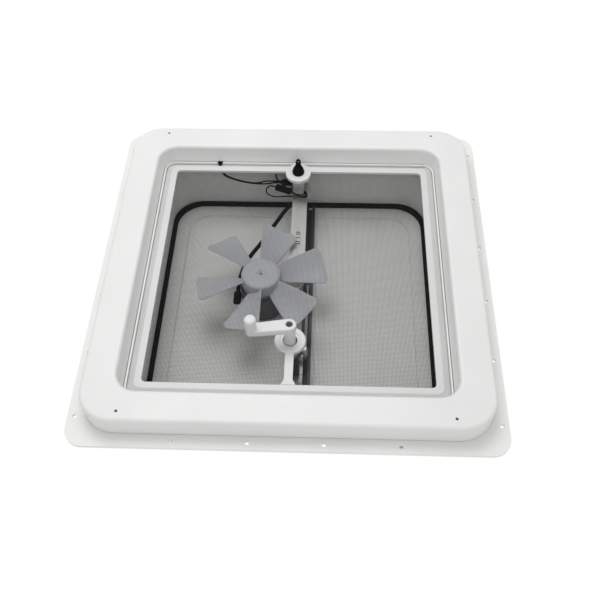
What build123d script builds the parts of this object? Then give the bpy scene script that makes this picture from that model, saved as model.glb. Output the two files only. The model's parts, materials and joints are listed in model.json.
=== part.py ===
"""Powered roof vent for a 14 inch square roof cut-out, as fitted to a caravan.

Frame: the origin is the centre of the cut-out, on the underside of the roof
flange. +Z points up to the sky, and +Y towards the lid's hinge. Millimetres.
"""
import os
from math import cos, radians, sin, tan

from build123d import *

os.makedirs("parts", exist_ok=True)

# ---------------------------------------------------------------- roof base
FLANGE = 456.0            # 18 inch roof flange
FLANGE_T = 3.0
FLANGE_CORNER = 20.0
CURB_IN = 337.0           # clear width inside the curb
CURB_WALL = 3.0
CURB_OUT = CURB_IN + 2 * CURB_WALL
CURB_CORNER = 38.0
CURB_TOP = 64.5
COLLAR = 346.8            # locates the base in the 355.6 mm cut-out
COLLAR_WALL = 1.8
COLLAR_IN = COLLAR - 2 * COLLAR_WALL
COLLAR_CORNER = 14.0
COLLAR_H = 5.0
ROOF_HOLE_R = 2.25
ROOF_HOLE_LINE = 220.5    # hole rows, from the centre
ROOF_HOLE_STEPS = (39.0, 117.0, 195.0)
GUSSET_T = 2.5
GUSSET_STEPS = (-123.0, -41.0, 41.0, 123.0)
PAD_Y = -150.25           # free end of the pad under the fan's strap

# ------------------------------------------------------------ ceiling trim
TRIM = 426.0
TRIM_CORNER = 37.0
TRIM_Z = -28.0            # room face
TRIM_T = 2.5
TRIM_TOP = -0.6
TRIM_MOUTH = 356.0        # opening at the room face
TRIM_THROAT = 348.4       # opening at the top of the funnel
TRIM_THROAT_Z = -6.0
TRIM_WALL = 1.8
TRIM_SCREW_X = 170.0
TRIM_SCREW_Y = 202.0
TRIM_SCREW_R = 1.6

# ------------------------------------------------------------ insect screen
SCREEN_RIM_Z = -7.1
SCREEN_TOP_Z = -0.6
SCREEN_EDGE_Z = -2.2      # where the frame's outer slope starts
WIRE_NOTCH_Z = -5.4
SCREEN_OUT = 341.4
SCREEN_RIM = 327.0
SCREEN_IN = 312.0
SCREEN_POCKET = 320.0
MESH_Z = -3.4
MESH_T = 0.4
BOSS_R = 17.2             # disc round the crank shaft
BOSS_Z = -8.0
SHAFT_HOLE_R = 8.2
DISH_R = 11.5
DISH_DEPTH = 0.8
SWITCH_BOSS_R = 15.9      # disc round the switch
SWITCH_BOSS_Z = -7.6
BOSS_TOP = MESH_Z
STEM_HALF = 4.7           # half width of the bar that carries the crank's disc
STEM_FOOT_HALF = 8.0
LEAD_SLOT_X = -102.5      # where the supply wires leave, towards the ceiling space
LEAD_SLOT = 7.0

# ------------------------------------------------------- lid and its hinge
LID = 372.0
LID_CORNER = 44.0
LID_T = 2.5
LID_SEAT = 69.0           # inner face of the lid's border
LID_SKIRT_Z = 50.0
PANEL = 300.0             # raised panel of the lid
PANEL_RISE = 3.0
HINGE_Y = 194.0
HINGE_Z = 64.2
HINGE_X = 118.0
KNUCKLE_R = 5.0
PIN_R = 2.0
RUN = 0.06                # radial running clearance

# ------------------------------------------------------------ lid operator
CRANK_Y = 101.0
WORM_CREST_R = 3.7
WHEEL_TEETH = 39
WHEEL_R = 12.0
PIVOT_Y = CRANK_Y - 16.0  # axis of the worm wheel and lift arm
PIVOT_Z = 42.0
SLIDE_X = 15.5            # plane of the lift arm and the lid track
ARM_T = 2.8
ARM_TIP_Y = 2 * PIVOT_Y - HINGE_Y
ARM_TIP_R = 3.2
SHAFT_R = 3.5
CASE_X = (-7.0, 7.4)
CASE_Y = (PIVOT_Y - 15.0, CRANK_Y + 8.0)
CASE_Z = (28.2, 56.0)
CASE_WALL = 1.6
COVER_T = 1.8
PLATE_T = 1.5
PLATE_X = (-7.5, 13.0)
PLATE_RIVET_X = (-3.0, 8.5)
HANDLE_Z = -39.0          # room face of the crank handle's arm
HANDLE_T = 8.0
SHAFT_END_Z = HANDLE_Z + 8.5
SHAFT_BODY_R = 4.0
GRIP_X, GRIP_Y = -40.5, CRANK_Y + 5.5
GRIP_LENGTH = 21.0

# ------------------------------------------------------------ fan and motor
FAN_X, FAN_Y = -39.0, 1.0
FAN_R = 77.0
HUB_R = 23.5
HUB_Z = (3.0, 21.0)
BLADES = 6
BLADE_T = 1.3
FIRST_BLADE = 45.0
STRAP_Z = 26.0
STRAP_T = 1.5
RING_T = 0.8               # earth wire's ring, under the strap screw's head
STRAP_X = (-7.5, 11.5)
MOTOR_R = 26.0
MOTOR_TOP = 66.0
BRACKET_SCREW = (1.0, -156.5)
MOTOR_SHAFT_R = 1.6

# ------------------------------------------------------------------ switch
SWITCH_Y = -153.5
SWITCH_BODY = (14.0, 25.0, 22.6)
LEVER_PIVOT_Z = -4.0
LEVER_TILT = 12.0
BUSH_R = 5.6
SWITCH_NUT_R = 7.0
CONNECTOR_TURN = 22.0     # the motor's connector is pushed aside by its wire


def finish(block, node):
    """Label a finished piece and write its STEP file."""
    block.part.label = node
    export_step(block.part, f"parts/{node}.step")


def corner_radii(points):
    """Arc radii for a wire's route: 0.45 of the shorter run over tan(half turn)."""
    radii = []
    for before, here, after in zip(points, points[1:], points[2:]):
        run_in = Vector(*here) - Vector(*before)
        run_out = Vector(*after) - Vector(*here)
        half_turn = radians(run_in.get_angle(run_out) / 2)
        radii.append(0.45 * min(run_in.length, run_out.length) / tan(half_turn))
    return radii


def route(points, wire_name):
    """Centre line of a wire: straight runs joined by tangent arcs."""
    radii = corner_radii(points)
    print(wire_name, "radii", [round(radius, 1) for radius in radii])
    return FilletPolyline(*points, radius=radii)


# ================================================================ roof base
with BuildPart() as roof_flange:
    with BuildSketch():
        RectangleRounded(FLANGE, FLANGE, FLANGE_CORNER)
        RectangleRounded(CURB_OUT, CURB_OUT, CURB_CORNER + CURB_WALL, mode=Mode.SUBTRACT)
    extrude(amount=FLANGE_T)
    # drip bead along the flange's edge, on the sky side
    with BuildSketch(Plane.XY.offset(FLANGE_T)):
        RectangleRounded(FLANGE, FLANGE, FLANGE_CORNER)
        RectangleRounded(FLANGE - 5, FLANGE - 5, FLANGE_CORNER - 2.5, mode=Mode.SUBTRACT)
    extrude(amount=1.2)
    # roof screw holes
    for step in ROOF_HOLE_STEPS:
        with BuildSketch(Plane.XY.offset(-1)):
            with GridLocations(2 * ROOF_HOLE_LINE, 2 * step, 2, 2):
                Circle(ROOF_HOLE_R)
            if step < ROOF_HOLE_STEPS[-1]:
                with GridLocations(2 * step, 2 * ROOF_HOLE_LINE, 2, 2):
                    Circle(ROOF_HOLE_R)
        extrude(amount=FLANGE_T + 3, mode=Mode.SUBTRACT)
finish(roof_flange, "roof_flange")

with BuildPart() as curb:
    with BuildSketch():
        RectangleRounded(CURB_OUT, CURB_OUT, CURB_CORNER + CURB_WALL)
        RectangleRounded(CURB_IN, CURB_IN, CURB_CORNER, mode=Mode.SUBTRACT)
    extrude(amount=CURB_TOP)
finish(curb, "curb")

# collar that drops into the roof cut-out, with a notch that lets the supply wires out
with BuildPart() as roof_collar:
    with BuildSketch(Plane.XY.offset(-COLLAR_H)):
        RectangleRounded(COLLAR, COLLAR, COLLAR_CORNER)
        RectangleRounded(COLLAR_IN, COLLAR_IN, COLLAR_CORNER - COLLAR_WALL, mode=Mode.SUBTRACT)
        with Locations((LEAD_SLOT_X, -COLLAR / 2)):
            Rectangle(LEAD_SLOT, 8, mode=Mode.SUBTRACT)
    extrude(amount=COLLAR_H)
finish(roof_collar, "roof_collar")

# two ears for each hinge, on a block that stands on the flange against the curb
with BuildPart() as hinge_posts:
    for side in (-1, 1):
        for ear in (-1, 1):
            with BuildSketch(Plane.YZ.offset(side * HINGE_X + ear * 11 - 3)):
                with BuildLine():
                    Polyline(
                        (CURB_OUT / 2, FLANGE_T), (HINGE_Y + KNUCKLE_R, FLANGE_T),
                        (HINGE_Y + KNUCKLE_R, HINGE_Z), (HINGE_Y - KNUCKLE_R, HINGE_Z),
                        (HINGE_Y - KNUCKLE_R, 46), (CURB_OUT / 2, 46), close=True,
                    )
                make_face()
                with Locations((HINGE_Y, HINGE_Z)):
                    Circle(KNUCKLE_R)
                    Circle(PIN_R, mode=Mode.SUBTRACT)
            extrude(amount=6)
        with BuildSketch(Plane.XY.offset(FLANGE_T)):
            with Locations((side * HINGE_X, HINGE_Y)):
                Rectangle(18, 2 * KNUCKLE_R)
        extrude(amount=40)
finish(hinge_posts, "hinge_posts")

# moulded pad that carries the fan bracket
with BuildPart() as strap_pad:
    with BuildSketch(Plane.XY.offset(STRAP_Z + STRAP_T)):
        with Locations((sum(STRAP_X) / 2, (PAD_Y - CURB_IN / 2) / 2)):
            Rectangle(27, CURB_IN / 2 + PAD_Y)
        with Locations(BRACKET_SCREW):
            Circle(1.8, mode=Mode.SUBTRACT)
    extrude(amount=10)
finish(strap_pad, "strap_pad")

# four stiffening gussets on each side but the hinge side
with BuildPart() as curb_gussets:
    for turn in (-90, 0, 180):
        outward = Vector(cos(radians(turn)), sin(radians(turn)), 0)
        upright = Plane(origin=(0, 0, 0), x_dir=outward, z_dir=outward.cross(Vector(0, 0, 1)))
        for step in GUSSET_STEPS:
            with BuildSketch(upright.offset(step - GUSSET_T / 2)):
                with BuildLine():
                    Polyline(
                        (CURB_OUT / 2, FLANGE_T), (CURB_OUT / 2 + 17, FLANGE_T),
                        (CURB_OUT / 2 + 15.5, FLANGE_T + 10), (CURB_OUT / 2 + 13, FLANGE_T + 12),
                        (CURB_OUT / 2, FLANGE_T + 12), close=True,
                    )
                make_face()
            extrude(amount=GUSSET_T)
finish(curb_gussets, "curb_gussets")

with BuildPart() as hinge_pins:
    for side in (-1, 1):
        with BuildSketch(Plane.YZ.offset(side * HINGE_X - 15)):
            with Locations((HINGE_Y, HINGE_Z)):
                Circle(PIN_R)
        extrude(amount=30)
        with BuildSketch(Plane.YZ.offset(side * HINGE_X - 16.2)):
            with Locations((HINGE_Y, HINGE_Z)):
                Circle(3.4)
        extrude(amount=1.2)
finish(hinge_pins, "hinge_pins")

# ============================================================= ceiling trim
with BuildPart() as ceiling_trim:
    with BuildSketch(Plane.XY.offset(TRIM_Z)):
        RectangleRounded(TRIM, TRIM, TRIM_CORNER)
    extrude(amount=TRIM_TOP - TRIM_Z)
    fillet(ceiling_trim.edges().group_by(Axis.Z)[0], 3.5)
    with BuildSketch(Plane.XY.offset(TRIM_Z + TRIM_T)):
        RectangleRounded(TRIM - 5, TRIM - 5, TRIM_CORNER - 2.5)
    extrude(amount=TRIM_TOP - TRIM_Z, mode=Mode.SUBTRACT)
    # funnel wall
    with BuildSketch(Plane.XY.offset(TRIM_Z + 1)):
        RectangleRounded(TRIM_MOUTH + 2 * TRIM_WALL, TRIM_MOUTH + 2 * TRIM_WALL, 26)
    with BuildSketch(Plane.XY.offset(TRIM_THROAT_Z)):
        RectangleRounded(TRIM_THROAT + 2 * TRIM_WALL, TRIM_THROAT + 2 * TRIM_WALL, 18)
    loft()
    with BuildSketch(Plane.XY.offset(TRIM_THROAT_Z)):
        RectangleRounded(TRIM_THROAT + 2 * TRIM_WALL, TRIM_THROAT + 2 * TRIM_WALL, 18)
    extrude(amount=TRIM_TOP - 0.4 - TRIM_THROAT_Z)
    with BuildSketch(Plane.XY.offset(TRIM_Z)):
        RectangleRounded(TRIM_MOUTH, TRIM_MOUTH, 24)
    with BuildSketch(Plane.XY.offset(TRIM_THROAT_Z)):
        RectangleRounded(TRIM_THROAT, TRIM_THROAT, 16)
    loft(mode=Mode.SUBTRACT)
    with BuildSketch(Plane.XY.offset(TRIM_THROAT_Z)):
        RectangleRounded(TRIM_THROAT, TRIM_THROAT, 16)
    extrude(amount=20, mode=Mode.SUBTRACT)
    mouth_edges = [
        edge for edge in ceiling_trim.edges().group_by(Axis.Z)[0]
        if max(abs(edge.center().X), abs(edge.center().Y)) < TRIM_MOUTH / 2 + 1
    ]
    fillet(mouth_edges, 4.0)
    # four screw holes, countersunk from the room
    with BuildSketch(Plane.XY.offset(TRIM_Z - 1)):
        with GridLocations(2 * TRIM_SCREW_X, 2 * TRIM_SCREW_Y, 2, 2):
            Circle(TRIM_SCREW_R)
    extrude(amount=TRIM_T + 2, mode=Mode.SUBTRACT)
    # slot in the top of the funnel for the supply wires
    with BuildSketch(Plane.XY.offset(TRIM_THROAT_Z)):
        with Locations((LEAD_SLOT_X, -TRIM_THROAT / 2)):
            Rectangle(LEAD_SLOT, 8)
    extrude(amount=-TRIM_THROAT_Z, mode=Mode.SUBTRACT)
finish(ceiling_trim, "ceiling_trim")

# ============================================================ insect screen
with BuildPart() as screen_frame:
    with BuildSketch(Plane.XY.offset(SCREEN_EDGE_Z)):
        RectangleRounded(SCREEN_OUT, SCREEN_OUT, 10)
    with BuildSketch(Plane.XY.offset(SCREEN_RIM_Z)):
        RectangleRounded(SCREEN_RIM, SCREEN_RIM, 8)
    loft()
    with BuildSketch(Plane.XY.offset(SCREEN_EDGE_Z)):
        RectangleRounded(SCREEN_OUT, SCREEN_OUT, 10)
    extrude(amount=SCREEN_TOP_Z - SCREEN_EDGE_Z)
    with BuildSketch(Plane.XY.offset(SCREEN_RIM_Z - 1)):
        RectangleRounded(SCREEN_IN, SCREEN_IN, 5)
    extrude(amount=12, mode=Mode.SUBTRACT)
    fillet(screen_frame.edges().group_by(Axis.Z)[0], 0.8)
    # disc round the switch, where it crosses the rail; switch_plate is the rest of it
    with BuildSketch(Plane.XY.offset(SWITCH_BOSS_Z)):
        with Locations((0, SWITCH_Y)):
            Circle(SWITCH_BOSS_R)
        Rectangle(SCREEN_IN, SCREEN_IN, mode=Mode.SUBTRACT)
    extrude(amount=BOSS_TOP - SWITCH_BOSS_Z)
    with BuildSketch(Plane.XY.offset(BOSS_Z - 1)):
        with Locations((0, SWITCH_Y)):
            Circle(BUSH_R)
    extrude(amount=12, mode=Mode.SUBTRACT)
    # pocket on the sky side for the mesh and its retainer, and a notch for the switch
    with BuildSketch(Plane.XY.offset(MESH_Z)):
        RectangleRounded(SCREEN_POCKET, SCREEN_POCKET, 7)
        with Locations((0, SWITCH_Y)):
            Rectangle(SWITCH_BODY[0] + 1, SWITCH_BODY[1] + 1)
    extrude(amount=6, mode=Mode.SUBTRACT)
    # notch for the supply wires
    with BuildSketch(Plane.XY.offset(WIRE_NOTCH_Z)):
        with Locations((LEAD_SLOT_X + 0.5, -SCREEN_OUT / 2 + 5)):
            Rectangle(LEAD_SLOT, 12)
    extrude(amount=6, mode=Mode.SUBTRACT)
finish(screen_frame, "screen_frame")

with BuildPart() as switch_plate:
    with BuildSketch(Plane.XY.offset(SWITCH_BOSS_Z)):
        with Locations((0, SWITCH_Y)):
            Circle(SWITCH_BOSS_R)
            Circle(BUSH_R, mode=Mode.SUBTRACT)
        Rectangle(SCREEN_IN, SCREEN_IN, mode=Mode.INTERSECT)
    extrude(amount=BOSS_TOP - SWITCH_BOSS_Z)
finish(switch_plate, "switch_plate")

# ring round the crank shaft, on a bar from the screen frame's front rail
with BuildPart() as crank_support:
    with BuildSketch(Plane.XY.offset(BOSS_Z)):
        with Locations((0, CRANK_Y)):
            Circle(BOSS_R)
    extrude(amount=BOSS_TOP - BOSS_Z)
    fillet(crank_support.edges().group_by(Axis.Z)[0], 1.2)
    with BuildSketch(Plane.XY.offset(SCREEN_RIM_Z)):
        with BuildLine():
            foot_y, neck_y = SCREEN_IN / 2, SCREEN_IN / 2 - 6
            Polyline(
                (-STEM_HALF, CRANK_Y + 14), (STEM_HALF, CRANK_Y + 14), (STEM_HALF, neck_y),
                (STEM_FOOT_HALF, foot_y), (-STEM_FOOT_HALF, foot_y), (-STEM_HALF, neck_y), close=True,
            )
        make_face()
    extrude(amount=BOSS_TOP - SCREEN_RIM_Z)
    with BuildSketch(Plane.XY.offset(BOSS_Z - 1)):
        with Locations((0, CRANK_Y)):
            Circle(SHAFT_HOLE_R)
    extrude(amount=12, mode=Mode.SUBTRACT)
    # shallow dish in the room face of the ring
    with BuildSketch(Plane.XY.offset(BOSS_Z)):
        with Locations((0, CRANK_Y)):
            Circle(DISH_R)
    extrude(amount=DISH_DEPTH, mode=Mode.SUBTRACT)
finish(crank_support, "crank_support")

with BuildPart() as screen_mesh:
    with BuildSketch(Plane.XY.offset(MESH_Z)):
        RectangleRounded(SCREEN_POCKET - 0.8, SCREEN_POCKET - 0.8, 6.5)
        with Locations((0, CRANK_Y)):
            Circle(9.6, mode=Mode.SUBTRACT)
        with Locations((0, SWITCH_Y)):
            Rectangle(20, 32, mode=Mode.SUBTRACT)
    extrude(amount=MESH_T)
finish(screen_mesh, "screen_mesh")

with BuildPart() as screen_retainer:
    with BuildSketch(Plane.XY.offset(MESH_Z + MESH_T)):
        RectangleRounded(SCREEN_POCKET - 0.6, SCREEN_POCKET - 0.6, 6.5)
        RectangleRounded(SCREEN_IN + 2, SCREEN_IN + 2, 5, mode=Mode.SUBTRACT)
        with Locations((0, -SCREEN_POCKET / 2)):
            Rectangle(20, 12, mode=Mode.SUBTRACT)
    extrude(amount=1.6)
finish(screen_retainer, "screen_retainer")

# ====================================================================== lid
with BuildPart() as lid:
    with BuildSketch(Plane.XY.offset(LID_SKIRT_Z)):
        RectangleRounded(LID, LID, LID_CORNER)
    extrude(amount=LID_SEAT + LID_T - LID_SKIRT_Z)
    fillet(lid.edges().group_by(Axis.Z)[-1], 4.5)
    with BuildSketch(Plane.XY.offset(LID_SKIRT_Z)):
        RectangleRounded(LID - 2 * LID_T, LID - 2 * LID_T, LID_CORNER - LID_T)
    extrude(amount=LID_SEAT - LID_SKIRT_Z, mode=Mode.SUBTRACT)
    # raised panel, with shallow ribs
    with BuildSketch(Plane.XY.offset(LID_SEAT + LID_T)):
        RectangleRounded(PANEL, PANEL, 30)
    extrude(amount=PANEL_RISE, taper=45)
    with BuildSketch(Plane.XY.offset(LID_SEAT + LID_T + PANEL_RISE)):
        with GridLocations(46, 1, 6, 1):
            SlotOverall(250, 12, rotation=90)
    extrude(amount=1.6, taper=40)
    # matching recess inside, left full under the track
    with BuildSketch(Plane.XY.offset(LID_SEAT)):
        RectangleRounded(PANEL - 6, PANEL - 6, 28)
        with Locations((SLIDE_X, 0)):
            Rectangle(20, LID, mode=Mode.SUBTRACT)
    extrude(amount=PANEL_RISE, taper=20, mode=Mode.SUBTRACT)
    # hinge knuckles
    for side in (-1, 1):
        with BuildSketch(Plane.YZ.offset(side * HINGE_X - 7.7)):
            with Locations((HINGE_Y, HINGE_Z)):
                Circle(KNUCKLE_R)
            with Locations(((HINGE_Y + LID / 2) / 2 - 0.5, HINGE_Z)):
                Rectangle(HINGE_Y - LID / 2 + 1, 7)
        extrude(amount=15.4)
        with BuildSketch(Plane.YZ.offset(side * HINGE_X - 8)):
            with Locations((HINGE_Y, HINGE_Z)):
                Circle(PIN_R + RUN)
        extrude(amount=16, mode=Mode.SUBTRACT)
finish(lid, "lid")

with BuildPart() as lid_gasket:
    with BuildSketch(Plane.XY.offset(CURB_TOP + 0.2)):
        RectangleRounded(348, 348, 45)
        RectangleRounded(326, 326, 36, mode=Mode.SUBTRACT)
    extrude(amount=LID_SEAT - CURB_TOP - 0.2)
    fillet(lid_gasket.edges().group_by(Axis.Z)[0], 1.4)
finish(lid_gasket, "lid_gasket")

TRACK_Y = (-158.0, 150.0)
TRACK_Z = HINGE_Z - 4.8
with BuildPart() as lid_track:
    with BuildSketch(Plane(origin=(SLIDE_X, TRACK_Y[1], 0), x_dir=(1, 0, 0), z_dir=(0, -1, 0))):
        with Locations((0, (LID_SEAT + TRACK_Z) / 2)):
            Rectangle(12, LID_SEAT - TRACK_Z)
            Rectangle(9.6, LID_SEAT - TRACK_Z - 2.4, mode=Mode.SUBTRACT)
        with Locations((0, TRACK_Z)):
            Rectangle(4.8, 4, mode=Mode.SUBTRACT)
    extrude(amount=TRACK_Y[1] - TRACK_Y[0])
    with BuildSketch(Plane.XY.offset(LID_SEAT - 2)):
        with Locations(*[(SLIDE_X, y) for y in (-145, -95, -45, 140)]):
            Circle(1.6)
    extrude(amount=3, mode=Mode.SUBTRACT)
finish(lid_track, "lid_track")

with BuildPart() as track_rivets:
    with BuildSketch(Plane.XY.offset(LID_SEAT - 2.2)):
        with Locations(*[(SLIDE_X, y) for y in (-145, -95, -45, 140)]):
            Circle(2.2)
    extrude(amount=1.0)
    with BuildSketch(Plane.XY.offset(LID_SEAT - 1.2)):
        with Locations(*[(SLIDE_X, y) for y in (-145, -95, -45, 140)]):
            Circle(1.6)
    extrude(amount=1.2)
finish(track_rivets, "track_rivets")

# ============================================================= lid operator
with BuildPart() as lift_arm:
    with BuildSketch(Plane.YZ.offset(SLIDE_X - ARM_T / 2)):
        with Locations((PIVOT_Y, PIVOT_Z)):
            Circle(9)
        with Locations((ARM_TIP_Y, HINGE_Z)):
            Circle(ARM_TIP_R)
        make_hull()
        with Locations((PIVOT_Y, PIVOT_Z)):
            Circle(SHAFT_R, mode=Mode.SUBTRACT)
        with Locations((ARM_TIP_Y, HINGE_Z)):
            Circle(1.5, mode=Mode.SUBTRACT)
    extrude(amount=ARM_T)
finish(lift_arm, "lift_arm")

with BuildPart() as arm_shaft:
    with BuildSketch(Plane.YZ.offset(-6.8)):
        with Locations((PIVOT_Y, PIVOT_Z)):
            Circle(SHAFT_R)
    extrude(amount=SLIDE_X + ARM_T / 2 + 6.8)
    # riveted-over end that keeps the arm on
    with BuildSketch(Plane.YZ.offset(SLIDE_X + ARM_T / 2)):
        with Locations((PIVOT_Y, PIVOT_Z)):
            Circle(SHAFT_R + 1.4)
    extrude(amount=1.6, taper=30)
finish(arm_shaft, "arm_shaft")

with BuildPart() as worm_wheel:
    with BuildSketch(Plane.YZ.offset(-2.5)):
        with Locations((PIVOT_Y, PIVOT_Z)):
            Circle(WHEEL_R - 0.9)
            with PolarLocations(WHEEL_R - 0.65, WHEEL_TEETH):
                Rectangle(1.3, 0.9)
            Circle(SHAFT_R, mode=Mode.SUBTRACT)
    extrude(amount=5)
finish(worm_wheel, "worm_wheel")

with BuildPart() as roller_pin:
    with BuildSketch(Plane.YZ.offset(SLIDE_X - 4.4)):
        with Locations((ARM_TIP_Y, HINGE_Z)):
            Circle(1.5)
    extrude(amount=8.8)
    for start in (-4.4, 3.9):
        with BuildSketch(Plane.YZ.offset(SLIDE_X + start)):
            with Locations((ARM_TIP_Y, HINGE_Z)):
                Circle(2.2)
        extrude(amount=0.5)
finish(roller_pin, "roller_pin")

with BuildPart() as arm_rollers:
    for start in (-3.75, 1.55):
        with BuildSketch(Plane.YZ.offset(SLIDE_X + start)):
            with Locations((ARM_TIP_Y, HINGE_Z)):
                Circle(3.3)
                Circle(1.5 + RUN, mode=Mode.SUBTRACT)
        extrude(amount=2.2)
finish(arm_rollers, "arm_rollers")

CASE_MID_Y, CASE_LEN = sum(CASE_Y) / 2, CASE_Y[1] - CASE_Y[0]
CASE_MID_Z, CASE_TALL = sum(CASE_Z) / 2, CASE_Z[1] - CASE_Z[0]
with BuildPart() as operator_case:
    with BuildSketch(Plane.YZ.offset(CASE_X[0])):
        with Locations((CASE_MID_Y, CASE_MID_Z)):
            RectangleRounded(CASE_LEN, CASE_TALL, 4)
    extrude(amount=CASE_X[1] - CASE_X[0])
    with BuildSketch(Plane.YZ.offset(CASE_X[0] + CASE_WALL)):
        with Locations((CASE_MID_Y, CASE_MID_Z)):
            RectangleRounded(CASE_LEN - 2 * CASE_WALL, CASE_TALL - 2 * CASE_WALL, 2.6)
    extrude(amount=CASE_X[1] - CASE_X[0], mode=Mode.SUBTRACT)
    with BuildSketch(Plane.YZ.offset(CASE_X[0])):
        with Locations((PIVOT_Y, PIVOT_Z)):
            Circle(SHAFT_R + RUN)
    extrude(amount=CASE_WALL, mode=Mode.SUBTRACT)
    with BuildSketch(Plane.XY.offset(CASE_Z[0] - 1)):
        with Locations((0, CRANK_Y)):
            Circle(4.5)
    extrude(amount=CASE_WALL + 2, mode=Mode.SUBTRACT)
finish(operator_case, "operator_case")

with BuildPart() as operator_cover:
    with BuildSketch(Plane.YZ.offset(CASE_X[1])):
        with Locations((CASE_MID_Y, CASE_MID_Z)):
            RectangleRounded(CASE_LEN, CASE_TALL, 4)
        with Locations((PIVOT_Y, PIVOT_Z)):
            Circle(SHAFT_R + RUN, mode=Mode.SUBTRACT)
    extrude(amount=COVER_T)
    fillet(operator_cover.faces().sort_by(Axis.X)[-1].outer_wire().edges(), 0.6)
finish(operator_cover, "operator_cover")

PLATE_MID_X, PLATE_WIDE = sum(PLATE_X) / 2, PLATE_X[1] - PLATE_X[0]
PLATE_Y = CASE_Y[0] - 2.0
PLATE_RIVETS = [(x, CASE_Z[1] - 9.0) for x in PLATE_RIVET_X]
with BuildPart() as operator_plate:
    with BuildSketch(Plane.XY.offset(CASE_Z[1])):
        with Locations((PLATE_MID_X, (PLATE_Y + CURB_IN / 2) / 2)):
            RectangleRounded(PLATE_WIDE, CURB_IN / 2 - PLATE_Y, 2)
        with Locations((PLATE_MID_X, 150)):
            SlotOverall(16, 5, rotation=90, mode=Mode.SUBTRACT)
    extrude(amount=PLATE_T)
    with BuildSketch(Plane.XZ.offset(-CURB_IN / 2)):
        with Locations((PLATE_MID_X, CASE_Z[1] - 7.25)):
            RectangleRounded(PLATE_WIDE, 17.5, 2)
        with Locations(*PLATE_RIVETS):
            Circle(1.8, mode=Mode.SUBTRACT)
    extrude(amount=PLATE_T)
finish(operator_plate, "operator_plate")

with BuildPart() as plate_rivets:
    with BuildSketch(Plane.XZ.offset(-CURB_IN / 2 + PLATE_T)):
        with Locations(*PLATE_RIVETS):
            Circle(3)
    extrude(amount=1.3, taper=20)
    with BuildSketch(Plane.XZ.offset(-CURB_IN / 2)):
        with Locations(*PLATE_RIVETS):
            Circle(1.8)
    extrude(amount=PLATE_T)
finish(plate_rivets, "plate_rivets")

with BuildPart() as shaft_bush:
    with BuildSketch(Plane.XY.offset(CASE_Z[0] - 5)):
        with Locations((0, CRANK_Y)):
            Circle(6.6)
    extrude(amount=5)
    with BuildSketch(Plane.XY.offset(CASE_Z[0])):
        with Locations((0, CRANK_Y)):
            Circle(4.5)
    extrude(amount=CASE_WALL)
    with BuildSketch(Plane.XY.offset(CASE_Z[0] - 6)):
        with Locations((0, CRANK_Y)):
            Circle(4 + RUN)
    extrude(amount=10, mode=Mode.SUBTRACT)
finish(shaft_bush, "shaft_bush")

WORM_Z = (33.0, 53.8)
WORM_PITCH = 1.9
with BuildPart() as crank_shaft:
    with BuildSketch(Plane.XY.offset(SHAFT_END_Z)):
        with Locations((0, CRANK_Y)):
            Circle(SHAFT_BODY_R)
            Circle(1.6, mode=Mode.SUBTRACT)
    extrude(amount=8)
    with BuildSketch(Plane.XY.offset(SHAFT_END_Z + 8)):
        with Locations((0, CRANK_Y)):
            Circle(SHAFT_BODY_R)
    extrude(amount=WORM_Z[0] - SHAFT_END_Z - 8)
    with BuildSketch(Plane.XY.offset(WORM_Z[0])):
        with Locations((0, CRANK_Y)):
            Circle(2.8)
    extrude(amount=WORM_Z[1] - WORM_Z[0])
    # thread of the worm
    for turn in range(9):
        with BuildSketch(Plane.XY.offset(WORM_Z[0] + 1 + WORM_PITCH * turn)):
            with Locations((0, CRANK_Y)):
                Circle(WORM_CREST_R)
        extrude(amount=WORM_PITCH / 2)
finish(crank_shaft, "crank_shaft")

HANDLE_SEAT_Z = HANDLE_Z + 4.5
with BuildPart() as crank_handle:
    with BuildSketch(Plane.XY.offset(HANDLE_Z)):
        with Locations((0, CRANK_Y)):
            Circle(7.6)
        with Locations((GRIP_X, GRIP_Y)):
            Circle(6.3)
        make_hull()
    extrude(amount=HANDLE_T)
    fillet(crank_handle.edges().group_by(Axis.Z)[0], 1.6)
    with BuildSketch(Plane.XY.offset(HANDLE_Z + HANDLE_T)):
        with Locations((0, CRANK_Y)):
            Circle(6.2)
    extrude(amount=-HANDLE_Z - HANDLE_T + 1)
    with BuildSketch(Plane.XY.offset(HANDLE_Z + HANDLE_T / 2)):
        with Locations((GRIP_X, GRIP_Y)):
            Circle(6.3)
    extrude(amount=-GRIP_LENGTH)
    fillet(crank_handle.edges().group_by(Axis.Z)[0], 2.6)
    with BuildSketch(Plane.XY.offset(SHAFT_END_Z)):
        with Locations((0, CRANK_Y)):
            Circle(SHAFT_BODY_R)
    extrude(amount=40, mode=Mode.SUBTRACT)
    with BuildSketch(Plane.XY.offset(HANDLE_SEAT_Z)):
        with Locations((0, CRANK_Y)):
            Circle(1.8)
    extrude(amount=6, mode=Mode.SUBTRACT)
    with BuildSketch(Plane.XY.offset(HANDLE_Z - 1)):
        with Locations((0, CRANK_Y)):
            Circle(3.9)
    extrude(amount=HANDLE_SEAT_Z - HANDLE_Z + 1, mode=Mode.SUBTRACT)
finish(crank_handle, "crank_handle")

with BuildPart() as handle_screw:
    with BuildSketch(Plane.XY.offset(HANDLE_SEAT_Z - 2.2)):
        with Locations((0, CRANK_Y)):
            Circle(3.4)
            Rectangle(5, 1, mode=Mode.SUBTRACT)
            Rectangle(1, 5, mode=Mode.SUBTRACT)
    extrude(amount=1.2)
    with BuildSketch(Plane.XY.offset(HANDLE_SEAT_Z - 1)):
        with Locations((0, CRANK_Y)):
            Circle(3.4)
    extrude(amount=1.0)
    with BuildSketch(Plane.XY.offset(HANDLE_SEAT_Z)):
        with Locations((0, CRANK_Y)):
            Circle(1.6)
    extrude(amount=11)
finish(handle_screw, "handle_screw")

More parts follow.
